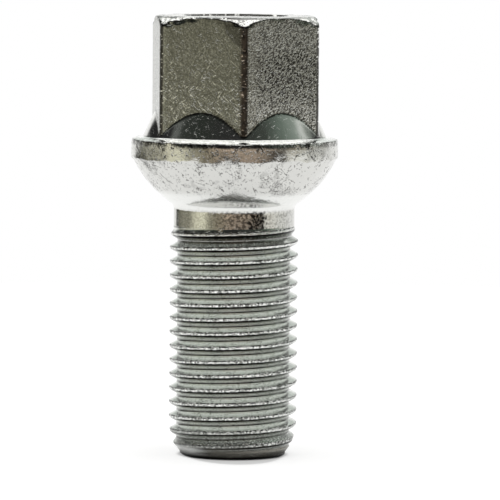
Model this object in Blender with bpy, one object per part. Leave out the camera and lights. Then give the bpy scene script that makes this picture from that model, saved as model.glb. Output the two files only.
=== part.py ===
# Wheel bolt with a ball seat: one steel forging with a rolled thread, standing on its threaded end.
#
# The bolt stands along +Z. Its origin is the centre of the threaded end's flat face, and the hexagon
# is turned so that a pair of its flats looks along +X and -X and two corners lie on +Y and -Y.
# From the bottom up it is: a chamfered thread, a plain shank, a spherical seat, a narrow rim, a cone
# that braces the foot of the hexagon, and the hexagon with its crowned top.
#
# A turned blank, a helical thread and the hexagon are modelled one by one and united into one solid.

import math

import bmesh
import bpy
from mathutils import Matrix, Vector

MM = 0.001

# Thread, metric M14 x 1.5, right hand
THREAD_DIAMETER = 13.86 * MM
THREAD_PITCH = 1.5 * MM
THREAD_DEPTH = 0.87 * MM
THREAD_HALF_ANGLE = math.radians(30)
THREAD_CREST_WIDTH = 0.19 * MM
THREAD_ROOT_DROP = 0.03 * MM
THREAD_LENGTH = 23.6 * MM
THREAD_START_ANGLE = math.radians(-99.5)
THREAD_RUNOUT_LENGTH = 2.0 * MM
THREAD_LIP = 0.12 * MM

# Threaded end
END_FACE_DIAMETER = 11.7 * MM
END_CHAMFER_ANGLE = math.radians(28)

# Plain shank
SHANK_DIAMETER = 12.86 * MM
SHANK_LENGTH = 26.7 * MM
SHANK_FILLET_RADIUS = 0.6 * MM

# Spherical seat and its rim
SEAT_BALL_RADIUS = 12.0 * MM
SEAT_END_ANGLE = math.radians(23.5)
RIM_DIAMETER = 22.0 * MM
RIM_HEIGHT = 1.6 * MM
RIM_EDGE_RADIUS = 0.2 * MM
RIM_TOP_SLOPE = math.radians(16)

# Cone under the hexagon
CONE_HALF_ANGLE = math.radians(25.5)
CONE_FOOT_MARGIN = 0.08 * MM
CONE_TIP_INSET = 0.5 * MM

# Hexagon, 17 mm spanner size
HEX_ACROSS_FLATS = 16.9 * MM
HEX_EDGE_RADIUS = 0.35 * MM
HEAD_HEIGHT = 13.2 * MM
CROWN_FLAT_DIAMETER = 14.4 * MM
CROWN_RADIUS = 3.3 * MM

# How finely round shapes are cut into facets
TURNED_SEGMENTS = 64
THREAD_SEGMENTS = 48
BALL_STEPS = 7
SMALL_ARC_STEPS = 3
SMOOTH_ANGLE = math.radians(28)

# How far shapes that are united reach into each other, and how far a cutter clears what it cuts
OVERLAP = 1.0 * MM
CLEARANCE = 2.0 * MM
WELD_DISTANCE = 0.001 * MM
COLLAR_SHARE_OF_RUNOUT = 1 / 8

ZINC_GREY = (0.55, 0.55, 0.53, 1.0)
ZINC_ROUGHNESS = 0.32

thread_radius = THREAD_DIAMETER / 2
thread_root_radius = thread_radius - THREAD_DEPTH
shank_radius = SHANK_DIAMETER / 2
rim_radius = RIM_DIAMETER / 2
end_face_radius = END_FACE_DIAMETER / 2
hex_flat_radius = HEX_ACROSS_FLATS / 2
hex_corner_radius = hex_flat_radius / math.cos(math.pi / 6)

# The ball runs up to the rim. One that is smaller than the rim ends at SEAT_END_ANGLE below its
# equator instead, and a flat shoulder goes from there out to the rim.
seat_edge_radius = min(rim_radius, SEAT_BALL_RADIUS * math.cos(SEAT_END_ANGLE))

# Heights above the end face, from the shank up
ball_centre = SHANK_LENGTH + math.sqrt(SEAT_BALL_RADIUS**2 - shank_radius**2)
rim_bottom = ball_centre - math.sqrt(SEAT_BALL_RADIUS**2 - seat_edge_radius**2)
rim_top = rim_bottom + RIM_HEIGHT
cone_foot_radius = hex_corner_radius + CONE_FOOT_MARGIN
cone_foot = rim_top + (rim_radius - cone_foot_radius) * math.tan(RIM_TOP_SLOPE)
cone_tip_radius = hex_flat_radius - CONE_TIP_INSET
cone_tip = cone_foot + (cone_foot_radius - cone_tip_radius) / math.tan(CONE_HALF_ANGLE)
head_top = rim_top + HEAD_HEIGHT


def arc(centre_r, centre_z, radius, start, end, steps):
    """Points (r, z) along an arc in the half plane, both ends included, angles counted from +R to +Z."""
    angles = [start + (end - start) * i / steps for i in range(steps + 1)]
    return [(centre_r + radius * math.cos(a), centre_z + radius * math.sin(a)) for a in angles]


def link(name, shape):
    """Closes a bmesh into a linked object whose faces point outwards."""
    bmesh.ops.remove_doubles(shape, verts=shape.verts, dist=WELD_DISTANCE)
    bmesh.ops.recalc_face_normals(shape, faces=shape.faces)
    mesh = bpy.data.meshes.new(name)
    shape.to_mesh(mesh)
    shape.free()
    obj = bpy.data.objects.new(name, mesh)
    bpy.context.scene.collection.objects.link(obj)
    return obj


def turned(name, profile):
    """A solid of revolution about Z from points (r, z) that start and end on the axis."""
    shape = bmesh.new()
    points = [shape.verts.new((r, 0, z)) for r, z in profile]
    edges = [shape.edges.new(pair) for pair in zip(points, points[1:])]
    bmesh.ops.spin(
        shape,
        geom=points + edges,
        cent=(0, 0, 0),
        axis=(0, 0, 1),
        angle=2 * math.pi,
        steps=TURNED_SEGMENTS,
        use_merge=True,
    )
    return link(name, shape)


def combine(target, operation, tool):
    """Applies an exact Boolean to the target and removes the tool."""
    boolean = target.modifiers.new("combine", "BOOLEAN")
    boolean.operation = operation
    boolean.solver = "EXACT"
    boolean.object = tool
    graph = bpy.context.evaluated_depsgraph_get()
    old_mesh = target.data
    target.data = bpy.data.meshes.new_from_object(target.evaluated_get(graph))
    target.modifiers.clear()
    bpy.data.meshes.remove(old_mesh)
    bpy.data.objects.remove(tool)


def shank_fillet():
    """The hollow between the shank and the ball: an arc tangent to both, from the shank upwards."""
    centre_r = shank_radius + SHANK_FILLET_RADIUS
    reach = SEAT_BALL_RADIUS + SHANK_FILLET_RADIUS
    centre_z = ball_centre - math.sqrt(reach**2 - centre_r**2)
    towards_ball = math.atan2(ball_centre - centre_z, -centre_r)
    return arc(centre_r, centre_z, SHANK_FILLET_RADIUS, math.pi, towards_ball, SMALL_ARC_STEPS)


def seat_ball(start):
    """The spherical seat, from a point (r, z) at the fillet's end up to where it meets the rim."""
    low = math.atan2(start[1] - ball_centre, start[0])
    high = math.atan2(rim_bottom - ball_centre, seat_edge_radius)
    return arc(0, ball_centre, SEAT_BALL_RADIUS, low, high, BALL_STEPS)[1:]


def rim_and_cone():
    """The rim's side and rounded upper edge, its sloping top, and the cone up into the hexagon."""
    edge = arc(
        rim_radius - RIM_EDGE_RADIUS,
        rim_top - RIM_EDGE_RADIUS,
        RIM_EDGE_RADIUS,
        0,
        math.pi / 2 - RIM_TOP_SLOPE,
        SMALL_ARC_STEPS,
    )
    foot_and_tip = [(cone_foot_radius, cone_foot), (cone_tip_radius, cone_tip)]
    return [(rim_radius, rim_bottom)] + edge + foot_and_tip


def make_collar():
    """The turned blank: the shank from inside the thread upwards, the seat, the rim and the cone."""
    fillet = shank_fillet()
    bottom = THREAD_LENGTH - THREAD_RUNOUT_LENGTH * COLLAR_SHARE_OF_RUNOUT
    profile = [(0, bottom), (shank_radius, bottom)]
    profile += fillet + seat_ball(fillet[-1]) + rim_and_cone() + [(0, cone_tip)]
    return turned("collar", profile)


def make_hexagon():
    """The hexagon with rounded corner edges and a crowned top, rising out of the collar."""
    bottom = cone_foot - OVERLAP
    shape = bmesh.new()
    base = bmesh.ops.create_circle(shape, cap_ends=True, segments=6, radius=hex_corner_radius)
    bmesh.ops.translate(shape, verts=base["verts"], vec=(0, 0, bottom))
    raised = bmesh.ops.extrude_face_region(shape, geom=shape.faces[:])
    top = [item for item in raised["geom"] if isinstance(item, bmesh.types.BMVert)]
    bmesh.ops.translate(shape, verts=top, vec=(0, 0, head_top + CLEARANCE - bottom))
    corners = [e for e in shape.edges if abs(e.verts[0].co.z - e.verts[1].co.z) > OVERLAP]
    bmesh.ops.bevel(
        shape,
        geom=corners,
        offset=HEX_EDGE_RADIUS * math.tan(math.pi / 6),
        segments=SMALL_ARC_STEPS,
        affect="EDGES",
        profile=0.5,
        material=-1,
    )
    hexagon = link("hexagon", shape)

    outside = hex_corner_radius + CLEARANCE
    flat_radius = CROWN_FLAT_DIAMETER / 2
    lowest = math.asin(min(1.0, (hex_corner_radius - flat_radius) / CROWN_RADIUS))
    crown = arc(
        flat_radius,
        head_top - CROWN_RADIUS,
        CROWN_RADIUS,
        math.pi / 2 - lowest,
        math.pi / 2,
        2 * SMALL_ARC_STEPS,
    )
    skirt = [(0, bottom - CLEARANCE), (outside, bottom - CLEARANCE), (outside, crown[0][1])]
    combine(hexagon, "INTERSECT", turned("crown", skirt + crown + [(0, head_top)]))
    return hexagon


def run_out(shape):
    """Fades the grooves and crests of the thread's last turns into the plain lip under the shank."""
    lip_radius = shank_radius + THREAD_LIP
    for vert in shape.verts:
        along = (THREAD_LENGTH - vert.co.z) / THREAD_RUNOUT_LENGTH
        if along < 1:
            along = max(0.0, along)
            shown = along * along * (3 - 2 * along)
            radius = vert.co.xy.length
            wanted = lip_radius + (radius - lip_radius) * shown
            vert.co.xy *= wanted / radius


def make_thread():
    """A right-hand helical thread that runs out under the shank and is chamfered at the bolt's end."""
    flank_height = THREAD_DEPTH * math.tan(THREAD_HALF_ANGLE)
    half_crest = THREAD_CREST_WIDTH / 2
    half_pitch = THREAD_PITCH / 2
    profile = [
        (thread_root_radius - THREAD_ROOT_DROP, -half_pitch),
        (thread_root_radius, -half_crest - flank_height),
        (thread_radius, -half_crest),
        (thread_radius, half_crest),
        (thread_root_radius, half_crest + flank_height),
        (thread_root_radius - THREAD_ROOT_DROP, half_pitch),
    ]
    below = math.ceil((OVERLAP + half_pitch) / THREAD_PITCH) + 1
    turns = below + math.ceil(THREAD_LENGTH / THREAD_PITCH) + 2
    shape = bmesh.new()
    start = Matrix.Rotation(THREAD_START_ANGLE, 4, "Z")
    points = [shape.verts.new(start @ Vector((r, 0, z - below * THREAD_PITCH))) for r, z in profile]
    edges = [shape.edges.new(pair) for pair in zip(points, points[1:])]
    bmesh.ops.spin(
        shape,
        geom=points + edges,
        cent=(0, 0, 0),
        axis=(0, 0, 1),
        dvec=(0, 0, THREAD_PITCH / THREAD_SEGMENTS),
        angle=2 * math.pi * turns,
        steps=THREAD_SEGMENTS * turns,
    )
    bmesh.ops.remove_doubles(shape, verts=shape.verts, dist=WELD_DISTANCE)
    run_out(shape)
    for height, outwards in ((-OVERLAP, -1), (THREAD_LENGTH, 1)):
        cut = bmesh.ops.bisect_plane(
            shape,
            geom=shape.verts[:] + shape.edges[:] + shape.faces[:],
            plane_co=(0, 0, height),
            plane_no=(0, 0, outwards),
            clear_outer=True,
        )
        rim = [item for item in cut["geom_cut"] if isinstance(item, bmesh.types.BMEdge)]
        bmesh.ops.contextual_create(shape, geom=rim)
    thread = link("thread", shape)

    outside = thread_radius + CLEARANCE
    outside_height = (outside - end_face_radius) / math.tan(END_CHAMFER_ANGLE)
    top = THREAD_LENGTH + outside_height
    chamfer = [(0, 0), (end_face_radius, 0), (outside, outside_height), (outside, top), (0, top)]
    combine(thread, "INTERSECT", turned("end_chamfer", chamfer))
    return thread


def zinc_plate():
    """Clear zinc plating on forged steel."""
    material = bpy.data.materials.new("zinc_plated_steel")
    material.use_nodes = True
    shader = material.node_tree.nodes["Principled BSDF"]
    shader.inputs["Base Color"].default_value = ZINC_GREY
    shader.inputs["Metallic"].default_value = 1.0
    shader.inputs["Roughness"].default_value = ZINC_ROUGHNESS
    return material


def make_bolt():
    """Unites the collar, the hexagon and the thread into the one forging that the bolt is."""
    bolt = make_collar()
    combine(bolt, "UNION", make_hexagon())
    combine(bolt, "UNION", make_thread())
    bolt.name = "wheel_bolt"
    bolt.data.name = "wheel_bolt"
    bolt.data.materials.clear()
    bolt.data.materials.append(zinc_plate())
    bolt.data.shade_smooth()
    bolt.data.set_sharp_from_angle(angle=SMOOTH_ANGLE)
    return bolt


for leftover in list(bpy.data.objects):
    bpy.data.objects.remove(leftover)
make_bolt()
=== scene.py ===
# A wheel bolt with a ball seat, standing on its threaded end as it was photographed.
#
# The bolt is one steel forging, plated with zinc. It is made here in the order in which the real
# one is made: a round blank is turned, its head is pressed to a hexagon, its thread is rolled, use
# and handling mark it, and it is plated. Lengths are in metres, and the frame gives its place.

import math
import random

import bmesh
import bpy
from mathutils import Matrix, Vector, kdtree, noise


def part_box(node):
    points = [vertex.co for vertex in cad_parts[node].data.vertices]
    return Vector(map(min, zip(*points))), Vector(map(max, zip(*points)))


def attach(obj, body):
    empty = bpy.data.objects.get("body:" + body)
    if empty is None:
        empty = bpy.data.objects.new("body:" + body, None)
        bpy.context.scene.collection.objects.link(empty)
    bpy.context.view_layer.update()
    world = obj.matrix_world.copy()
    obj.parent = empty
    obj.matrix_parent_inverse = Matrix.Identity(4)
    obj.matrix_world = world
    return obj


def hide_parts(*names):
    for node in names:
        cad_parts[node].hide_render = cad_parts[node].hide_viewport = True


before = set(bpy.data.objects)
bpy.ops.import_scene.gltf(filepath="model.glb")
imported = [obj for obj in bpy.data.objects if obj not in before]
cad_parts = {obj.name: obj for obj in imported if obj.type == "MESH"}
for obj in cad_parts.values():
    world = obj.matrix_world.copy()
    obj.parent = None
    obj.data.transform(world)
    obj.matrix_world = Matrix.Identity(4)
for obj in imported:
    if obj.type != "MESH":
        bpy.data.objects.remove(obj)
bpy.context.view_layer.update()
MM = 0.001

# The round blank is cold-headed steel: a plain shank, a ball seat, a narrow rim that leans in at
# its top, a cone, and a head that is still round, with a crowned top and a shallow dish in it. It
# is one profile spun about the bolt's axis.

bolt_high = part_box("wheel_bolt")[1]
RIM_RADIUS = bolt_high.x
HEAD_TOP = bolt_high.z
MERIDIANS = 240
MERGE_DISTANCE = 0.001 * MM

SHANK_RADIUS = 6.43 * MM
SHANK_BOTTOM = 24.5 * MM
SHANK_FOOT = 0.06 * MM
SHANK_STEP = 0.25 * MM
SEAT_BOTTOM = 26.7 * MM
FILLET_RADIUS = 0.8 * MM
BALL_RADIUS = 12.0 * MM
BALL_CENTRE = SEAT_BOTTOM + math.sqrt(BALL_RADIUS**2 - SHANK_RADIUS**2)
RIM_BOTTOM = BALL_CENTRE - math.sqrt(BALL_RADIUS**2 - RIM_RADIUS**2)
RIM_HEIGHT = 1.7 * MM
RIM_TOP = RIM_BOTTOM + RIM_HEIGHT
RIM_EDGE_RADIUS = 0.15 * MM
RIM_LEAN = math.radians(8)
RIM_LEAN_HEIGHT = 0.55 * MM
RIM_TOP_SLOPE = math.radians(11.6)
RIM_FOOT_DROP = 0.42 * MM
RIM_FOOT_RADIUS = 0.12 * MM
RIM_UNDERSIDE = 0.66 * MM
RIM_STEP = 0.2 * MM

HEX_FLAT_RADIUS = 8.45 * MM
HEX_CORNER_RADIUS = HEX_FLAT_RADIUS / math.cos(math.pi / 6)
FLAT_STEP = 0.3 * MM
CORNER_CLEARANCE = 0.01 * MM
CONE_FOOT_RADIUS = HEX_CORNER_RADIUS + CORNER_CLEARANCE
CONE_FOOT = RIM_TOP + (RIM_RADIUS - CONE_FOOT_RADIUS) * math.tan(RIM_TOP_SLOPE)
CONE_HALF_ANGLE = math.radians(25.5)
CONE_OVERRUN = 0.5 * MM
CONE_WIDTH = CONE_FOOT_RADIUS - HEX_FLAT_RADIUS + CONE_OVERRUN
CONE_TIP = CONE_FOOT + CONE_WIDTH / math.tan(CONE_HALF_ANGLE)
CONE_STEP = 0.12 * MM
CROWN_FLAT_RADIUS = 7.86 * MM
CROWN_RADIUS = 2.0 * MM
CROWN_CENTRE = HEAD_TOP - CROWN_RADIUS
CROWN_OVERHANG = 0.08 * MM
CROWN_REACH = HEX_CORNER_RADIUS + CROWN_OVERHANG
TOP_STEP = 0.6 * MM
DISH_RADIUS = 5.6 * MM
DISH_DEPTH = 0.15 * MM
DISH_RING = 0.1 * MM


def arc(centre_r, centre_z, radius, start, end, steps):
    """Points (r, z) along an arc, both ends included, with angles counted from +R towards +Z."""
    angles = [start + (end - start) * i / steps for i in range(steps + 1)]
    return [(centre_r + radius * math.cos(a), centre_z + radius * math.sin(a)) for a in angles]


def line(start, end, step):
    """Points (r, z) after the start of a straight stretch, about a step apart, end included."""
    count = max(1, round(math.dist(start, end) / step))
    return [
        tuple(s + (e - s) * i / count for s, e in zip(start, end)) for i in range(1, count + 1)
    ]


fillet_r = SHANK_RADIUS + FILLET_RADIUS
fillet_z = BALL_CENTRE - math.sqrt((BALL_RADIUS + FILLET_RADIUS) ** 2 - fillet_r**2)
fillet_end = math.atan2(BALL_CENTRE - fillet_z, -fillet_r)
fillet = arc(fillet_r, fillet_z, FILLET_RADIUS, math.pi, fillet_end, 7)
ball_low = math.atan2(fillet[-1][1] - BALL_CENTRE, fillet[-1][0])
ball_high = -math.asin((BALL_CENTRE - RIM_BOTTOM + RIM_UNDERSIDE) / BALL_RADIUS)
ball = arc(0, BALL_CENTRE, BALL_RADIUS, ball_low, ball_high, 26)
foot_r = RIM_RADIUS - RIM_FOOT_RADIUS
foot_z = RIM_BOTTOM - RIM_FOOT_DROP + RIM_FOOT_RADIUS
rim_foot = arc(foot_r, foot_z, RIM_FOOT_RADIUS, -math.pi / 4, 0, 3)
edge_r = RIM_RADIUS - (RIM_LEAN_HEIGHT - RIM_EDGE_RADIUS) * math.tan(RIM_LEAN) - RIM_EDGE_RADIUS
edge_z = RIM_TOP - RIM_EDGE_RADIUS
rim_edge = arc(edge_r, edge_z, RIM_EDGE_RADIUS, RIM_LEAN, math.pi / 2 - RIM_TOP_SLOPE, 5)
crown_low = math.pi / 2 - math.asin((CROWN_REACH - CROWN_FLAT_RADIUS) / CROWN_RADIUS)
crown = arc(CROWN_FLAT_RADIUS, CROWN_CENTRE, CROWN_RADIUS, crown_low, math.pi / 2, 26)
dish_edge = [
    (DISH_RADIUS + 0.03 * MM, HEAD_TOP),
    (DISH_RADIUS + 0.01 * MM, HEAD_TOP - 0.01 * MM),
    (DISH_RADIUS - 0.02 * MM, HEAD_TOP - 0.14 * MM),
    (DISH_RADIUS - 0.05 * MM, HEAD_TOP - DISH_DEPTH),
]

profile = [(SHANK_RADIUS, SHANK_BOTTOM), (SHANK_RADIUS, SHANK_BOTTOM + SHANK_FOOT)]
profile += line(profile[-1], fillet[0], SHANK_STEP) + fillet[1:]
profile += ball[1:] + rim_foot
profile += line(profile[-1], (RIM_RADIUS, RIM_TOP - RIM_LEAN_HEIGHT), RIM_STEP)
profile += line(profile[-1], rim_edge[0], RIM_STEP) + rim_edge[1:]
profile += line(profile[-1], (CONE_FOOT_RADIUS, CONE_FOOT), RIM_STEP)
profile += line(profile[-1], (CONE_FOOT_RADIUS, CONE_TIP), CONE_STEP)
profile += line(profile[-1], crown[0], FLAT_STEP) + crown[1:]
profile += line(profile[-1], (DISH_RADIUS + DISH_RING, HEAD_TOP), TOP_STEP) + dish_edge
profile += line(profile[-1], (DISH_RING, HEAD_TOP - DISH_DEPTH), TOP_STEP)
profile += [(0, HEAD_TOP - DISH_DEPTH)]

bolt_shape = bmesh.new()
profile_points = [bolt_shape.verts.new((0, r, z)) for r, z in profile]
profile_edges = [bolt_shape.edges.new(pair) for pair in zip(profile_points, profile_points[1:])]
bmesh.ops.spin(
    bolt_shape,
    geom=profile_points + profile_edges,
    cent=(0, 0, 0),
    axis=(0, 0, 1),
    angle=2 * math.pi,
    steps=MERIDIANS,
    use_merge=True,
)
bmesh.ops.remove_doubles(bolt_shape, verts=bolt_shape.verts, dist=MERGE_DISTANCE)

# The head is pressed from round to a hexagon, so its six flats, the cone below them and the crown
# above them run into each other with small eased edges. Each point of the head is moved towards the
# axis until it lies on the flat, cone or crown that it belongs to.

CROWN_EASING = 0.12 * MM
HEX_CORNER_EASING = 0.6 * MM
SCALLOP_EASING = 0.1 * MM
MERIDIAN_CROWDING = 0.72
CROWDING_HEIGHT = 1 * MM
FLAT_TOLERANCE = 0.02 * MM
FLAT_MARGIN = 0.22 * MM
FLAT_FADE = 0.2 * MM
CROWN_EDGE_WIDTH = 0.14 * MM
SCALLOP_EDGE_WIDTH = 0.07 * MM


def eased_min(a, b, width):
    """The smaller of two lengths, with a round transition where they differ by less than width."""
    overlap = max(width - abs(a - b), 0) / width
    return min(a, b) - overlap * overlap * width / 4


def clamped(value):
    """A number held between 0 and 1."""
    return min(1, max(0, value))


def off_flat(angle):
    """How far an angle lies from the middle of the nearest flat. One flat looks along +X."""
    return abs((angle + math.pi / 6) % (math.pi / 3) - math.pi / 6)


def hexagon_radius(angle):
    """How far the hexagon reaches from the axis."""
    this_flat = HEX_FLAT_RADIUS / math.cos(off_flat(angle))
    next_flat = HEX_FLAT_RADIUS / math.cos(math.pi / 3 - off_flat(angle))
    return eased_min(this_flat, next_flat, HEX_CORNER_EASING)


flat_share = bolt_shape.verts.layers.float.new("pressed_flat")
edge_share = bolt_shape.verts.layers.float.new("pressed_edge")
for vert in bolt_shape.verts:
    radius = vert.co.xy.length
    if vert.co.z > CONE_FOOT and radius > CROWN_FLAT_RADIUS - CROWN_EASING:
        angle = math.atan2(vert.co.y, vert.co.x)
        crowding = MERIDIAN_CROWDING * min(1, (vert.co.z - CONE_FOOT) / CROWDING_HEIGHT)
        angle += crowding * math.sin(6 * angle) / 6
        hexagon = hexagon_radius(angle)
        cone = CONE_FOOT_RADIUS - (vert.co.z - CONE_FOOT) * math.tan(CONE_HALF_ANGLE)
        braced = -eased_min(-hexagon, -cone, SCALLOP_EASING)
        wanted = eased_min(radius, braced, CROWN_EASING)
        vert.co.xy = Vector((math.cos(angle), math.sin(angle))) * wanted
        to_corner = HEX_FLAT_RADIUS * (math.tan(math.pi / 6) - math.tan(off_flat(angle)))
        inside = clamped((to_corner - FLAT_MARGIN) / FLAT_FADE)
        vert[flat_share] = inside if wanted > hexagon - FLAT_TOLERANCE and cone < hexagon else 0
        near_crown = 1 - abs(radius - hexagon) / CROWN_EDGE_WIDTH if cone < hexagon else 0
        near_cone = 1 - abs(cone - hexagon) / SCALLOP_EDGE_WIDTH
        near_corner = 1 - to_corner / HEX_CORNER_EASING if cone < hexagon < radius else 0
        vert[edge_share] = max(0, near_corner, near_cone, near_crown)

# The thread is rolled: M14 x 1.5, right hand. One pitch of its outline is swept along a helix, then
# it runs out under the shank and is cut by the chamfer of the bolt's end. Its attributes say where
# the rubbed lip of the crest and the seam above it are, where shade is painted in the lee of the
# crests, along the roots and in the run-out, and where highlights are painted along the flanks and
# in the run-out.

THREAD_RADIUS = 6.82 * MM
THREAD_TOP = 24.48 * MM
THREAD_START = math.radians(-98)
THREAD_TURN_STEPS = 144
TURNS_BELOW = 2
PITCH = 1.5 * MM
FLANK_ANGLE = math.radians(30)
ROOT_ROUND = 0.26 * MM
ROOT_ARC = (math.radians(60), math.radians(36), math.radians(12))
CREST_HALF = 0.155 * MM
CREST_DROP = 0.05 * MM
CREST_OUTLINE = (
    (-0.424 * MM, 0.516 * MM),
    (-0.298 * MM, 0.298 * MM),
    (-0.18 * MM, 0.1 * MM),
    (-CREST_HALF, 0.068 * MM),
    (-0.06 * MM, 0.03 * MM),
    (0.03 * MM, 0),
    (0.08 * MM, 0.01 * MM),
    (0.13 * MM, 0.03 * MM),
    (0.16 * MM, 0.06 * MM),
    (0.2 * MM, 0.128 * MM),
)
LIP = (-0.16 * MM, 0.04 * MM)
SEAM = (0.04 * MM, 0.17 * MM)
LEE = (-0.35 * MM, -0.16 * MM)
UNDER_ROOT = (0.5 * MM, 0.62 * MM)
ROOT_FROM = 0.65 * MM
DARK_ROOT_FROM = 0.69 * MM
RUNOUT = 1.5 * MM
RUNOUT_LIP_RADIUS = SHANK_RADIUS + 0.04 * MM
RUNOUT_LIP_FADE = RUNOUT / 5
RUNOUT_SHADE_FROM = 22.45 * MM
RUNOUT_SHADE_FADE = 0.3 * MM
RUNOUT_SHADE_SAG = 0.6 * MM
RUNOUT_SHADE_OVERLAP = 0.05 * MM
END_RADIUS = 5.62 * MM
END_LAND = 0.35 * MM
END_CHAMFER = math.radians(40)
END_EDGE_WIDTH = 0.14 * MM
END_EDGE_HEIGHT = 0.16 * MM
END_EASING = 0.15 * MM
LEAD_RADIUS = 6.3 * MM
LEAD_HEIGHT = 1.2 * MM
LEAD_TAPER = 0.28


def within(value, span):
    """1 between the two ends of the span, and 0 elsewhere."""
    return 1 if span[0] < value < span[1] else 0


root_reach = ROOT_ROUND * math.cos(FLANK_ANGLE)
flank_drop = CREST_DROP + (PITCH / 2 - CREST_HALF - root_reach) / math.tan(FLANK_ANGLE)
root_bottom = flank_drop + ROOT_ROUND * (1 - math.sin(FLANK_ANGLE))
upper_root = [
    (PITCH / 2 - ROOT_ROUND * math.sin(a), root_bottom - ROOT_ROUND * (1 - math.cos(a)))
    for a in ROOT_ARC
]
lower_root = [(-z, drop) for z, drop in reversed(upper_root)]
outline = [(-PITCH / 2, root_bottom), *lower_root, *CREST_OUTLINE, *upper_root]
outline += [(PITCH / 2, root_bottom)]

thread = bmesh.new()
to_start = Matrix.Rotation(THREAD_START, 4, "Z")
outline_points = [
    thread.verts.new(to_start @ Vector((THREAD_RADIUS - drop, 0, z))) for z, drop in outline
]
outline_edges = [thread.edges.new(pair) for pair in zip(outline_points, outline_points[1:])]
bmesh.ops.spin(
    thread,
    geom=outline_points + outline_edges,
    cent=(0, 0, 0),
    axis=(0, 0, 1),
    dvec=(0, 0, PITCH / THREAD_TURN_STEPS),
    angle=2 * math.pi,
    steps=THREAD_TURN_STEPS,
)
one_turn = thread.verts[:] + thread.edges[:] + thread.faces[:]
for turn in range(-TURNS_BELOW, math.ceil(THREAD_TOP / PITCH) + 1):
    if turn != 0:
        copied = bmesh.ops.duplicate(thread, geom=one_turn)
        moved = [item for item in copied["geom"] if isinstance(item, bmesh.types.BMVert)]
        bmesh.ops.translate(thread, verts=moved, vec=(0, 0, turn * PITCH))
bmesh.ops.remove_doubles(thread, verts=thread.verts, dist=MERGE_DISTANCE)

crest_lip = thread.verts.layers.float.new("crest_lip")
crest_seam = thread.verts.layers.float.new("crest_seam")
crest_lee_shade = thread.verts.layers.float.new("crest_lee_shade")
runout_shade = thread.verts.layers.float.new("runout_shade")
rolled_highlight = thread.verts.layers.float.new("rolled_highlight")
for vert in thread.verts:
    radius = vert.co.xy.length
    turns = (math.atan2(vert.co.y, vert.co.x) - THREAD_START) / (2 * math.pi)
    from_crest = (vert.co.z - turns * PITCH + PITCH / 2) % PITCH - PITCH / 2
    on_lip = within(from_crest, LIP)
    in_root = abs(from_crest) > ROOT_FROM
    vert[crest_lip] = on_lip
    vert[crest_seam] = within(from_crest, SEAM)
    # Painted shade: the lee under each crest, and at half strength a dark line along each root.
    vert[crest_lee_shade] = 0.5 if abs(from_crest) > DARK_ROOT_FROM else within(from_crest, LEE)
    # Painted shade fills the run-out's grooves, except on the lips and the roots.
    in_runout = clamped((vert.co.z - RUNOUT_SHADE_FROM) / RUNOUT_SHADE_FADE)
    shade_top = THREAD_TOP - RUNOUT_SHADE_SAG * (vert.co.x / SHANK_RADIUS) ** 2
    clean = on_lip or in_root or vert.co.z > shade_top + RUNOUT_SHADE_OVERLAP
    vert[runout_shade] = 0 if clean else in_runout * (1 if from_crest < 0 else 0.65)
    # Painted highlights: bright lips and roots in the run-out, and at half strength a bright line
    # along each flank under the root.
    runout_highlight = in_runout if on_lip or in_root else 0
    vert[rolled_highlight] = 0.5 if within(from_crest, UNDER_ROOT) else runout_highlight

    below_top = max(0, THREAD_TOP - vert.co.z)
    shown = min(1, below_top / RUNOUT)
    shown = shown * shown * (3 - 2 * shown)
    lip_share = min(1, below_top / RUNOUT_LIP_FADE)
    lip_radius = SHANK_RADIUS + (RUNOUT_LIP_RADIUS - SHANK_RADIUS) * lip_share
    wanted = lip_radius + (radius - lip_radius) * shown
    end = END_RADIUS + max(0, vert.co.z - END_LAND) * math.tan(END_CHAMFER)
    end = min(end, LEAD_RADIUS + (vert.co.z - LEAD_HEIGHT) * LEAD_TAPER)
    end -= END_EDGE_WIDTH * max(0, 1 - vert.co.z / END_EDGE_HEIGHT) ** 2
    vert.co.xy *= eased_min(wanted, end, END_EASING) / radius

for height, outwards in ((0, -1), (THREAD_TOP, 1)):
    cut = bmesh.ops.bisect_plane(
        thread,
        geom=thread.verts[:] + thread.edges[:] + thread.faces[:],
        plane_co=(0, 0, height),
        plane_no=(0, 0, outwards),
        clear_outer=True,
    )
    if height == 0:
        end_ring = [item for item in cut["geom_cut"] if isinstance(item, bmesh.types.BMEdge)]
        bmesh.ops.contextual_create(thread, geom=end_ring)

thread_mesh = bpy.data.meshes.new("thread")
thread.to_mesh(thread_mesh)
thread.free()
bolt_shape.from_mesh(thread_mesh)
bpy.data.meshes.remove(thread_mesh)
open_rings = [edge for edge in bolt_shape.edges if edge.is_boundary]
bmesh.ops.bridge_loops(bolt_shape, edges=open_rings)
bmesh.ops.recalc_face_normals(bolt_shape, faces=bolt_shape.faces)

# Spanners, other bolts and the wheel have marked it. The rim is burred and its foot is uneven, the
# corners and the crown are nicked, the crests are chipped, and the ball is dented where it turns in
# its seat.

MARKS = random.Random(11)
RIPPLED_FROM = THREAD_TOP + 1.5 * MM
SHANK_TOP = 26.9 * MM
RIM_WALL = RIM_RADIUS - 0.1 * MM
EVEN_SURFACE = 0.4
BURR_HEIGHT = 0.45 * MM
BURR_RADIUS = 0.93 * RIM_RADIUS
UNEVEN_FOOT = RIM_BOTTOM + 0.1 * MM
UNEVEN_HEIGHT = 1.3 * MM
STRUCK_BALL_FROM = 28.8 * MM

bolt_shape.normal_update()
flat_share = bolt_shape.verts.layers.float["pressed_flat"]
edge_share = bolt_shape.verts.layers.float["pressed_edge"]
crest_lip = bolt_shape.verts.layers.float["crest_lip"]
crest_seam = bolt_shape.verts.layers.float["crest_seam"]
tree = kdtree.KDTree(len(bolt_shape.verts))
for vert in bolt_shape.verts:
    tree.insert(vert.co, vert.index)
tree.balance()
moves = [Vector() for vert in bolt_shape.verts]


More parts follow.
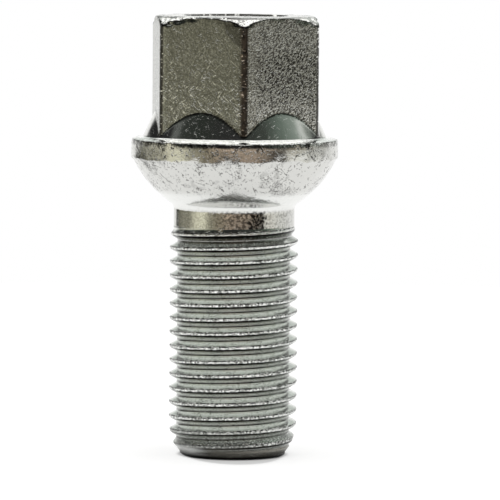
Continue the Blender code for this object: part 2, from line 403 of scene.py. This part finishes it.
def waves(point, height, size, seed):
    """Smooth noise up to that height on both sides of 0, with bumps of about that size."""
    return height * noise.noise(point / size + Vector((seed, 0, 0)))


def nearness(value, middle, reach):
    """1 at the middle, fading smoothly to 0 at that reach on both sides of it."""
    share = max(0, 1 - ((value - middle) / reach) ** 2)
    return share * share


def zone(chosen):
    """The bolt's vertices for which chosen is true."""
    return [vert for vert in bolt_shape.verts if chosen(vert, vert.co.xy.length, vert.co.z)]


def strike(struck_zone, count, sizes, depths):
    """Presses that many dents into a zone. Sizes and depths are ranges in millimetres."""
    for struck in MARKS.sample(struck_zone, count):
        size, depth = MARKS.uniform(*sizes) * MM, MARKS.uniform(*depths) * MM
        for _, index, gap in tree.find_range(struck.co, size):
            moves[index] -= struck.normal * depth * nearness(gap, 0, size)


for vert in bolt_shape.verts:
    radius, z = vert.co.xy.length, vert.co.z
    around = Vector((vert.co.x, vert.co.y, 0))
    if z > RIPPLED_FROM:
        ripple = waves(vert.co, 0.012 * MM, 0.7 * MM, 3) + waves(vert.co, 0.02 * MM, 2.2 * MM, 9)
        even = vert[flat_share] or radius > RIM_WALL or z < SHANK_TOP
        moves[vert.index] += vert.normal * ripple * (EVEN_SURFACE if even else 1)
    if radius > BURR_RADIUS:
        rough = waves(around, 0.03 * MM, 0.5 * MM, 5) + waves(around, 0.05 * MM, 1.4 * MM, 8)
        up_and_out = Vector((vert.co.x, vert.co.y, radius)) / radius
        moves[vert.index] += up_and_out * rough * nearness(z, RIM_TOP, BURR_HEIGHT)
    uneven = waves(around, 0.22 * MM, 1.1 * MM, 2) + waves(around, 0.3 * MM, 4 * MM, 6)
    moves[vert.index].z += uneven * nearness(z, UNEVEN_FOOT, UNEVEN_HEIGHT)
    if vert[crest_lip] + vert[crest_seam] > 0:
        moves[vert.index] += around / radius * waves(vert.co, 0.035 * MM, 0.4 * MM, 4)

hex_corners = zone(lambda vert, r, z: z > CONE_TIP and r > HEX_CORNER_RADIUS - 0.35 * MM)
crown_edge = zone(lambda vert, r, z: z > HEAD_TOP - 0.8 * MM and r > CROWN_FLAT_RADIUS)
crown_arcs = [vert for vert in crown_edge if vert[edge_share] > 0.2]
rim = zone(lambda vert, r, z: z > RIM_TOP - 0.35 * MM and r > RIM_RADIUS - 0.4 * MM)
seat = zone(lambda vert, r, z: STRUCK_BALL_FROM < z < RIM_BOTTOM and r > SHANK_RADIUS)
crests = zone(lambda vert, r, z: vert[crest_lip] == 1 and z > 0)
strike(hex_corners, count=70, sizes=(0.25, 0.5), depths=(0.02, 0.05))
strike(crown_edge, count=150, sizes=(0.25, 0.7), depths=(0.02, 0.07))
strike(crown_arcs, count=60, sizes=(0.3, 0.6), depths=(0.05, 0.13))
strike(rim, count=80, sizes=(0.25, 0.5), depths=(0.01, 0.04))
strike(seat, count=160, sizes=(0.4, 1.2), depths=(0.01, 0.035))
strike(crests, count=260, sizes=(0.2, 0.45), depths=(0.01, 0.045))
for vert in bolt_shape.verts:
    vert.co += moves[vert.index]

bolt_mesh = bpy.data.meshes.new("wheel_bolt_forging")
bolt_shape.to_mesh(bolt_mesh)
bolt_shape.free()
bolt_mesh.shade_smooth()
bolt = bpy.data.objects.new("wheel_bolt_forging", bolt_mesh)
bpy.context.scene.collection.objects.link(bolt)
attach(bolt, "root")
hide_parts("wheel_bolt")

# The zinc is a thin clear-passivated plating: speckled on the pressed flats, grey-green on the
# rolled thread, and bright on the shank, ball and rim. Soil lies in its scratches and pits. Painted
# shade darkens its edges, the rim's top band, the crown's brink, the lee of the crests, the run-out
# and the foot, and painted highlights brighten lines on the thread, the rim's ledge, the fillet and
# the end. Signal writes the masks for these as plain sums.


class Signal:
    """A shader socket in Python arithmetic. Each operator on it adds a Math node to its tree."""

    def __init__(self, socket):
        self.socket = socket
        self.tree = socket.id_data

    def node(self, kind, values, output=0, stops=(), **settings):
        """Adds any node, its settings first, then a ramp's stops, then its values and links."""
        made = self.tree.nodes.new(kind)
        for name, setting in settings.items():
            setattr(made, name, setting)
        for i, (position, colour) in enumerate(stops):
            elements = made.color_ramp.elements
            element = elements[i] if i < 2 else elements.new(position)
            element.position = position
            element.color = (*colour, 1)
        for name, value in values.items():
            if isinstance(value, Signal):
                self.tree.links.new(value.socket, made.inputs[name])
            else:
                made.inputs[name].default_value = value
        return Signal(made.outputs[output])

    def math(self, operation, *values):
        """Adds a Math node on those values, of which this signal is one only if it is named."""
        return self.node("ShaderNodeMath", dict(enumerate(values)), operation=operation)

    def __add__(self, other):
        return self.math("ADD", self, other)

    def __sub__(self, other):
        return self.math("SUBTRACT", self, other)

    def __rsub__(self, other):
        return self.math("SUBTRACT", other, self)

    def __mul__(self, other):
        return self.math("MULTIPLY", self, other)

    def __truediv__(self, other):
        return self.math("DIVIDE", self, other)

    __radd__ = __add__
    __rmul__ = __mul__

    def ramp(self, low, high):
        """0 below low, 1 above high, smooth between. A high that is below low turns it round."""
        values = {"Value": self, "From Min": min(low, high), "From Max": max(low, high)}
        values["To Min"], values["To Max"] = (0.0, 1.0) if low < high else (1.0, 0.0)
        return self.node("ShaderNodeMapRange", values, interpolation_type="SMOOTHSTEP")

    def mix(self, first, second):
        """From the first colour to the second, with this signal as the share of the second."""
        values = {0: self, 6: first, 7: second}
        return self.node("ShaderNodeMix", values, output=2, data_type="RGBA")

    def part(self, axis):
        """One of this signal's coordinates, counted from 0."""
        return self.node("ShaderNodeSeparateXYZ", {"Vector": self}, output=axis)

    def scaled(self, by):
        """This signal's coordinates, each times its own number."""
        return self.node("ShaderNodeVectorMath", {0: self, 1: by}, operation="MULTIPLY")

    def turned(self, turn):
        """This signal's coordinates, turned by those three angles."""
        values = {"Vector": self, "Rotation": turn}
        return self.node("ShaderNodeVectorRotate", values, rotation_type="EULER_XYZ")

    def distance(self, point=(0, 0, 0)):
        """How far this signal's coordinates lie from a point."""
        values = {0: self, 1: point}
        return self.node("ShaderNodeVectorMath", values, output=1, operation="DISTANCE")

    def along(self, way):
        """How far this signal's coordinates reach in that direction."""
        values = {0: self, 1: way}
        return self.node("ShaderNodeVectorMath", values, output=1, operation="DOT_PRODUCT")

    def grain(self, size, detail=2.0, stretch=(1, 1, 1)):
        """Noise on this signal's coordinates, with grains of about that size, from 0 to 1."""
        placed = self.scaled(tuple(s / size for s in stretch))
        return self.node("ShaderNodeTexNoise", {"Vector": placed, "Scale": 1.0, "Detail": detail})

    def scratches(self, spacing, width, turn, share):
        """Broken thin lines, 1 inside and 0 outside, on coordinates turned by those angles."""
        turned = self.turned(turn)
        lines = turned.grain(spacing, detail=1.5, stretch=(1, 1, 0.2))
        kept = turned.grain(spacing * 0.9, detail=1, stretch=(1, 1, 0.4))
        off_line = self.math("ABSOLUTE", lines - 0.5)
        return off_line.ramp(width / spacing, 0) * kept.ramp(1.02 - share, 1.08 - share)


ZINC = (0.71, 0.71, 0.685, 1)
PRESSED_ZINC = (0.315, 0.32, 0.29, 1)
ROLLED_ZINC = (0.64, 0.67, 0.63, 1)
BURNISHED_ZINC_AND_HIGHLIGHT = (0.97, 0.98, 0.96, 1)
DARK_END_TONE = (0.24, 0.23, 0.2, 1)
GRIME_AND_SHADE = (0.035, 0.033, 0.029, 1)
DEEP_SOIL_AND_SHADE = (0.006, 0.006, 0.005, 1)
ZINC_ROUGHNESS = 0.11
SHOULDER_SHADE_CENTRE = (0.3 * MM, -9.7 * MM, 46.4 * MM)
CUTS = (
    (0.7 * MM, 0.026 * MM, (0.7, 0.3, 0.4), 0.44),
    (0.6 * MM, 0.022 * MM, (-0.8, 0.5, 1.3), 0.44),
    (0.5 * MM, 0.02 * MM, (1.3, -0.4, 2.1), 0.46),
)
SLIPS = (
    ((-0.62, -0.79, 0), 0.11 * MM, 0.2, 0.7),
    ((0.54, 0.73, 0), 0.12 * MM, 0.17, 0.7),
    ((-0.28, -0.45, 0), 0.12 * MM, 0.25, 0.72),
)

zinc = bpy.data.materials.new("clear_passivated_zinc")
zinc.use_nodes = True
zinc_shader = zinc.node_tree.nodes["Principled BSDF"]
place = Signal(zinc.node_tree.nodes.new("ShaderNodeTexCoord").outputs["Object"])
flat, edge, lip, seam, lee, runout_shade_share, rolled_highlight_share = (
    place.node("ShaderNodeAttribute", {}, output=2, attribute_name=name)
    for name in (
        "pressed_flat",
        "pressed_edge",
        "crest_lip",
        "crest_seam",
        "crest_lee_shade",
        "runout_shade",
        "rolled_highlight",
    )
)
aside, back, height = place.part(0), place.part(1), place.part(2)
from_axis = place.scaled((1, 1, 0)).distance()

# These masks are 1 on one region of the bolt.
on_end = height.ramp(1.3 * MM, 0.9 * MM)
on_lead = height.ramp(3.4 * MM, 2.6 * MM)
on_thread = height.ramp(THREAD_TOP + 0.1 * MM, THREAD_TOP - 0.1 * MM)
on_shank = (1 - on_thread) * height.ramp(26.6 * MM, 26.2 * MM)
on_turned = (1 - on_thread) * height.ramp(28.6 * MM, 27.8 * MM)
on_head = height.ramp(RIM_TOP, RIM_TOP + 0.5 * MM)
on_rim = height.ramp(RIM_BOTTOM, RIM_BOTTOM + 0.4 * MM) * (1 - on_head)
on_ledge = height.ramp(RIM_TOP - 0.04 * MM, RIM_TOP + 0.02 * MM)
on_ledge = on_ledge * height.ramp(CONE_FOOT + 0.05 * MM, CONE_FOOT)
on_cone = height.ramp(RIM_TOP, RIM_TOP + 0.4 * MM) * (1 - flat)
on_cone = on_cone * height.ramp(HEAD_TOP - 2.4 * MM, HEAD_TOP - 2.6 * MM)
on_brink = height.ramp(HEAD_TOP - 0.25 * MM, HEAD_TOP - 0.15 * MM)
on_brink = on_brink * from_axis.ramp(7.5 * MM, 7.8 * MM)
in_dish = height.ramp(HEAD_TOP - 0.3 * MM, HEAD_TOP - 0.2 * MM)
in_dish = in_dish * from_axis.ramp(DISH_RADIUS - 0.5 * MM, DISH_RADIUS - 0.1 * MM)
in_dish = in_dish * from_axis.ramp(DISH_RADIUS + 0.1 * MM, DISH_RADIUS)
grained = flat * aside.ramp(-1 * MM, 3 * MM)
bare = (1 - flat) * (1 - on_thread) * (1 - on_cone)
dark_middle = grained * height.ramp(44 * MM, 42 * MM) * height.ramp(37 * MM, 39 * MM)
# Painted shade on the left flat beside the front corner, under the crown.
shoulder_shade = place.distance(SHOULDER_SHADE_CENTRE).ramp(2.8 * MM, 2.5 * MM) * aside.ramp(0, -0.2 * MM) * flat

# These patterns are the plating's grain and the marks in it.
fine = place.grain(0.16 * MM)
coarse = place.grain(0.8 * MM, detail=3)
broad = place.grain(2.6 * MM)
streaks = place.grain(0.12 * MM, stretch=(0.25, 0.25, 1))
glints = place.grain(0.16 * MM, stretch=(0.7, 0.7, 1))
sparkle = place.turned((0.46, -0.66, 0)).grain(0.16 * MM, detail=3, stretch=(1, 1, 0.6))
sparkle = sparkle.ramp(0.43, 0.57)
cuts = sum(place.scratches(*cut) for cut in CUTS).ramp(0, 1)
cuts = cuts * (1 - flat * broad.ramp(0.62, 0.42) * 0.8)
slips = sum(
    place.turned(turn).grain(size, detail=0, stretch=(1, 1, drawn_out)).ramp(low, low + 0.07)
    for turn, size, drawn_out, low in SLIPS
)
slips = slips * (height.ramp(45 * MM, 38 * MM) * 0.7 + 0.25) * (1 - aside.ramp(0, 3 * MM) * 0.5)
specks = (place.grain(0.17 * MM) * 0.55 + broad * 0.45).ramp(0.56, 0.61)
clouds = (coarse * 0.5 + broad * 0.5).ramp(0.5, 0.6) * bare * (1 - on_turned)
nicks = place.grain(0.3 * MM, detail=1, stretch=(0.6, 0.6, 1.6)).ramp(0.63, 0.69)
nicks = nicks * edge.ramp(0.1, 0.5)
worn_crest = glints.ramp(0.44, 0.54) * (1 - on_lead * aside.ramp(3 * MM, 0) * 0.5)
mottled = aside.ramp(-4 * MM, 0) * 0.5 + aside.ramp(0.6 * MM, 1.3 * MM) * 0.45
mottled = (mottled - aside.ramp(2.7 * MM, 3 * MM) * 0.88) * back.ramp(-2 * MM, -4.5 * MM) + 0.2
mottle = place.grain(0.26 * MM, detail=3).ramp(0.47, 0.54) * on_shank * mottled

# These are the soil in those marks, in the seams and pits of the crests and by the thread's lead,
# and the painted shade on the rim's top band, the crown's brink, the dish, the pressed edges, the
# lee of the crests and the run-out.
grime = (cuts + specks * 0.8).ramp(0, 1) * bare * (1 - on_turned * 0.9) * (1 - on_ledge)
# A mottled painted shade darkens the rim's band below its top edge, over fine soil specks all
# across the rim.
rim_soil_and_shade = (fine * 0.5 + coarse * 0.5).ramp(0.42, 0.52) * on_rim
rim_soil_and_shade = rim_soil_and_shade * height.ramp(RIM_TOP - 0.7 * MM, RIM_TOP - 0.3 * MM)
rim_soil_and_shade = (rim_soil_and_shade + fine.ramp(0.5, 0.6) * on_rim * 0.32) * (1 - on_ledge * 0.75)
# Painted shade along the crown's brink, fainter to the right, and in the corner of the dish.
brink_and_dish_shade = (place.grain(0.35 * MM, detail=3) * 0.6 + broad * 0.5).ramp(0.46, 0.52) * on_brink
brink_and_dish_shade = brink_and_dish_shade * (1 - aside.ramp(0, 4 * MM) * 0.5)
brink_and_dish_shade = brink_and_dish_shade + in_dish * coarse.ramp(0.35, 0.45)
# Mottled painted shade along the pressed corners, crown edges and scallops.
edge_shade = edge.ramp(0.1, 0.6) * (fine * 0.4 + coarse * 0.6).ramp(0.3, 0.42)
pits = seam * (1 - worn_crest * 0.7) + lip * (1 - worn_crest) * (1 - rolled_highlight_share * 0.7) * 0.6
lee_shade = lee * (0.78 + coarse * 0.4 + on_lead * 0.2)
runout_painted_shade = runout_shade_share * (0.25 + fine.ramp(0.35, 0.6) * 0.6)
lead_soil = on_lead * height.ramp(2.5 * MM, 2.3 * MM) * sparkle * 0.45

# The pressed flats are dull between their sparkling grains, and brighter towards their foot. A
# painted shade darkens the left flat beside the front corner, under the crown.
dull = flat * (1 - sparkle) * (grained * 0.42 + dark_middle * 0.3 + 0.38)
dull = dull + shoulder_shade * (0.3 + sparkle * 0.3)
bright = flat * sparkle * (grained * 0.62 + 0.13) * (1 - dark_middle * 0.5)
bright = bright * (height.ramp(40 * MM, 35 * MM) * 0.75 + 0.28)

# From the plating up, each layer covers what lies under it with its colour, by its share.
colour = on_thread.mix(flat.mix(ZINC, PRESSED_ZINC), ROLLED_ZINC)
for share, layer in (
    (dull, GRIME_AND_SHADE),
    (bright, ZINC),
    ((cuts * 0.35 + slips) * flat * 0.7, BURNISHED_ZINC_AND_HIGHLIGHT),
    # The worn lips and seams of the crests are burnished; the rolled highlights are painted.
    ((lip + seam) * worn_crest + rolled_highlight_share, BURNISHED_ZINC_AND_HIGHLIGHT),
    # Painted highlight: the rim's top ledge is brightened.
    (on_ledge, BURNISHED_ZINC_AND_HIGHLIGHT),
    (pits + lee_shade + runout_painted_shade, GRIME_AND_SHADE),
    # Painted deep shade in the lee of the crests, with dark soil in the crests' seams.
    (lee * (0.72 + coarse * 0.4) + seam * (1 - worn_crest) * 0.6, DEEP_SOIL_AND_SHADE),
    (mottle, GRIME_AND_SHADE),
    # Painted highlight: the fillet and the foot of the ball are brightened.
    (on_turned * (1 - on_shank) * 0.6, BURNISHED_ZINC_AND_HIGHLIGHT),
    (grime * 0.65 + clouds * 0.22 + rim_soil_and_shade * 0.6, GRIME_AND_SHADE),
    (brink_and_dish_shade + edge_shade * 0.95 * (1 - nicks), GRIME_AND_SHADE),
    (nicks * 0.6, BURNISHED_ZINC_AND_HIGHLIGHT),
    (lead_soil, GRIME_AND_SHADE),
    # The end is darker, except at its far left, where a painted highlight brightens it instead.
    (on_end * (0.6 + coarse * 0.6) * aside.ramp(-4.5 * MM, -2 * MM), DARK_END_TONE),
    (on_end * aside.ramp(-3 * MM, -5 * MM), BURNISHED_ZINC_AND_HIGHLIGHT),
    # Painted shade darkens the foot towards the floor, and a painted contact shadow makes its
    # lowest edge near black.
    (height.ramp(0.75 * MM, 0.1 * MM), GRIME_AND_SHADE),
    (height.ramp(0.34 * MM, 0.14 * MM), DEEP_SOIL_AND_SHADE),
):
    colour = share.mix(colour, layer)

evened = (on_thread + on_head) * 0.8 + on_shank * 0.75 + on_rim * 0.6
relief = (fine - 0.5) * (0.008 * MM + flat * 0.012 * MM + grained * 0.03 * MM)
relief = relief * (1 - on_cone * 0.6) * (1 - on_thread * 0.6) * (1 - on_shank * 0.5)
relief = relief + (fine - 0.5) * ((lip * 0.1 + seam * 0.16 + on_lead * 0.06) * MM)
relief = relief + (coarse - 0.5) * 0.02 * MM * (1 - evened)
relief = relief + (streaks - 0.5) * 0.004 * MM * on_thread
relief = relief - cuts * 0.015 * MM * (1 - on_turned) * (1 - on_cone * 0.7)
bump = place.node("ShaderNodeBump", {"Height": relief, "Strength": 1.0, "Distance": 1.0})
roughness = ZINC_ROUGHNESS + flat * 0.05 + on_lead * 0.06 + (coarse - 0.5) * 0.05 + grime * 0.1
roughness = roughness + on_thread * (1 - lip - lee) * 0.07 - on_shank * 0.03
zinc_shader.inputs["Metallic"].default_value = 1.0
for name, signal in (("Base Color", colour), ("Roughness", roughness), ("Normal", bump)):
    zinc.node_tree.links.new(signal.socket, zinc_shader.inputs[name])
bolt.data.materials.append(zinc)

# The floor is plain white card. It ends in front of the bolt, out of the camera's sight. It is
# darker where the bolt touches it, partly in its own shade and partly in a painted contact shadow,
# where its glow fades, and a soft painted shadow is drawn out from there to the front and the back.
# Metal sees a wider painted shade round the bolt's foot.

CARD_RADIUS = 215 * MM
CARD_DROP = 0.01 * MM
CARD_WHITE = (0.5, 0.5, 0.495, 1)
CARD_GLOW = 0.6
GLOW_IN_METAL = 0.84
CONTACT = (5.65 * MM, 6.15 * MM)
CONTACT_IN_METAL = (5.95 * MM, 7.1 * MM)
CONTACT_SHARE = 0.45
SHADOW_DRAWN = (1, 0.55, 1)
SHADOW_EDGE = (4.8 * MM, 5.6 * MM)

card_shape = bmesh.new()
bmesh.ops.create_circle(card_shape, cap_ends=True, segments=96, radius=CARD_RADIUS)
bmesh.ops.translate(card_shape, verts=card_shape.verts, vec=(0, 0, -CARD_DROP))
card_mesh = bpy.data.meshes.new("floor")
card_shape.to_mesh(card_mesh)
card_shape.free()
floor = bpy.data.objects.new("floor", card_mesh)
bpy.context.scene.collection.objects.link(floor)

card = bpy.data.materials.new("white_card")
card.use_nodes = True
card_shader = card.node_tree.nodes["Principled BSDF"]
card_ray = card.node_tree.nodes.new("ShaderNodeLightPath")
seen_directly = Signal(card_ray.outputs["Is Camera Ray"])
seen_in_gloss = Signal(card_ray.outputs["Is Glossy Ray"])
card_place = Signal(card.node_tree.nodes.new("ShaderNodeTexCoord").outputs["Object"])
from_bolt = card_place.distance()
contact_glow = from_bolt.ramp(*CONTACT) * CONTACT_SHARE
shadow_glow = card_place.scaled(SHADOW_DRAWN).distance().ramp(*SHADOW_EDGE) * (1 - CONTACT_SHARE)
glow = seen_directly * (contact_glow + shadow_glow)
glow = glow + seen_in_gloss * GLOW_IN_METAL * from_bolt.ramp(*CONTACT_IN_METAL)
card.node_tree.links.new(glow.socket, card_shader.inputs["Emission Color"])
for name, value in (
    ("Base Color", CARD_WHITE),
    ("Roughness", 1.0),
    ("Specular IOR Level", 0.0),
    ("Emission Strength", CARD_GLOW),
):
    card_shader.inputs[name].default_value = value
floor.data.materials.append(card)

# The studio is a white tent with an opening for the camera, through which metal sees a dark room. A
# soft light fills the top of the tent. The camera and matt surfaces see plain white all round.

CAMERA_AZIMUTH = math.radians(-5.9)
HORIZON_FROM = (-3.9, -3.4)
UPPER_FROM = (6, 14)
LIGHT_ELEVATION = math.radians(75)
LIGHT_EDGE = (math.cos(math.radians(51)), math.cos(math.radians(39)))
SOFT_LIGHT = (1.6, 1.6, 1.58, 1)
PLAIN_WHITE = (1, 1, 1, 1)

world = bpy.data.worlds.new("studio")
bpy.context.scene.world = world
world.use_nodes = True
world.cycles.sampling_method = "NONE"
background = world.node_tree.nodes["Background"]
direction = Signal(world.node_tree.nodes.new("ShaderNodeTexCoord").outputs["Generated"])
world_ray = world.node_tree.nodes.new("ShaderNodeLightPath")


def turned_to(angle):
    """The part of the direction towards an azimuth, counted from the camera's to its right."""
    azimuth = CAMERA_AZIMUTH + angle
    return direction.along((math.sin(azimuth), -math.cos(azimuth), 0))


azimuth = direction.math("ARCTAN2", turned_to(math.pi / 2), turned_to(0)) / (2 * math.pi) + 0.5
rise = direction.part(2)
elevation = rise.math("ARCSINE", rise) * (180 / math.pi)


def tent_wall(*stops):
    """The tent's colours all round, from pairs of azimuth in degrees, -180 to 180, and colour."""
    placed = [((degrees + 180) / 360, colour) for degrees, colour in stops]
    return azimuth.node("ShaderNodeValToRGB", {"Fac": azimuth}, stops=placed)


level = tent_wall(
    (-180, (1.0, 1.0, 0.99)),
    (-149, (0.95, 0.95, 0.93)),
    (-143, (0.04, 0.04, 0.03)),
    (-136, (0.04, 0.04, 0.03)),
    (-129, (0.22, 0.21, 0.16)),
    (-94, (0.26, 0.25, 0.19)),
    (-80, (0.72, 0.7, 0.54)),
    (-66, (0.95, 0.93, 0.72)),
    (-59, (0.9, 0.88, 0.68)),
    (-50, (0.42, 0.4, 0.3)),
    (-38, (0.28, 0.25, 0.18)),
    (0, (0.13, 0.1, 0.075)),
    (14, (0.22, 0.175, 0.135)),
    (30, (0.04, 0.033, 0.025)),
    (56, (0.04, 0.035, 0.03)),
    (63, (0.96, 0.95, 0.89)),
    (90, (0.9, 0.9, 0.86)),
    (130, (0.9, 0.9, 0.89)),
    (180, (1.0, 1.0, 0.99)),
)
horizon = tent_wall(
    (-180, (1.05, 1.05, 1.04)),
    (-150, (1.0, 1.0, 0.99)),
    (-138, (0.8, 0.8, 0.78)),
    (-128, (0.2, 0.2, 0.17)),
    (-116, (0.44, 0.43, 0.36)),
    (-95, (0.5, 0.48, 0.39)),
    (-76, (0.79, 0.76, 0.6)),
    (-60, (0.58, 0.56, 0.44)),
    (-46, (0.3, 0.29, 0.22)),
    (-30, (0.28, 0.24, 0.17)),
    (-12, (0.6, 0.48, 0.37)),
    (9, (0.5, 0.4, 0.31)),
    (26, (0.53, 0.43, 0.34)),
    (54, (0.17, 0.155, 0.13)),
    (72, (0.4, 0.363, 0.28)),
    (100, (0.5, 0.5, 0.46)),
    (120, (0.56, 0.56, 0.53)),
    (135, (0.95, 0.95, 0.94)),
    (180, (1.05, 1.05, 1.04)),
)
upper = tent_wall(
    (-180, (0.8, 0.83, 0.8)),
    (-160, (0.5, 0.53, 0.5)),
    (-150, (0.02, 0.02, 0.02)),
    (-100, (0.03, 0.03, 0.03)),
    (-91, (0.17, 0.18, 0.17)),
    (-82, (0.04, 0.045, 0.04)),
    (-60, (0.03, 0.035, 0.03)),
    (0, (0.03, 0.03, 0.03)),
    (50, (0.06, 0.07, 0.06)),
    (75, (0.16, 0.2, 0.17)),
    (98, (0.3, 0.35, 0.31)),
    (108, (0.72, 0.75, 0.72)),
    (118, (0.3, 0.33, 0.3)),
    (128, (0.03, 0.03, 0.03)),
    (142, (0.1, 0.1, 0.1)),
    (152, (0.5, 0.53, 0.5)),
    (180, (0.8, 0.83, 0.8)),
)
light_side = math.cos(LIGHT_ELEVATION)
light_towards = (
    -light_side * math.sin(CAMERA_AZIMUTH),
    light_side * math.cos(CAMERA_AZIMUTH),
    math.sin(LIGHT_ELEVATION),
)
tent = elevation.ramp(*HORIZON_FROM).mix(level, horizon)
tent = elevation.ramp(*UPPER_FROM).mix(tent, upper)
tent = direction.along(light_towards).ramp(*LIGHT_EDGE).mix(tent, SOFT_LIGHT)
plain = Signal(world_ray.outputs["Is Camera Ray"]) + Signal(world_ray.outputs["Is Diffuse Ray"])
world.node_tree.links.new(plain.mix(tent, PLAIN_WHITE).socket, background.inputs["Color"])

# The camera stands in front of the bolt, a little to the left of a corner of the hexagon. It looks
# slightly down on it through a long lens.

CAMERA_ELEVATION = math.radians(4.45)
CAMERA_DISTANCE = 504 * MM
CAMERA_ROLL = math.radians(0.46)
LENS = 340.5
SENSOR = 36.0
AIM_ASIDE = 1.72 * MM
AIM_HEIGHT = 21.87 * MM

camera_data = bpy.data.cameras.new("camera")
camera_data.lens = LENS
camera_data.sensor_width = SENSOR
camera_data.clip_start = 50 * MM
camera_data.clip_end = 5000 * MM
camera = bpy.data.objects.new("camera", camera_data)
bpy.context.scene.collection.objects.link(camera)
to_camera = Vector(
    (
        math.sin(CAMERA_AZIMUTH) * math.cos(CAMERA_ELEVATION),
        -math.cos(CAMERA_AZIMUTH) * math.cos(CAMERA_ELEVATION),
        math.sin(CAMERA_ELEVATION),
    )
)
to_right = Vector((math.cos(CAMERA_AZIMUTH), math.sin(CAMERA_AZIMUTH), 0))
aim = Vector((0, 0, AIM_HEIGHT)) + to_right * AIM_ASIDE
camera.location = aim + to_camera * CAMERA_DISTANCE
facing = (-to_camera).to_track_quat("-Z", "Y").to_matrix().to_4x4()
camera.rotation_euler = (facing @ Matrix.Rotation(CAMERA_ROLL, 4, "Z")).to_euler()
bpy.context.scene.camera = camera
bpy.context.scene.view_settings.view_transform = "Standard"
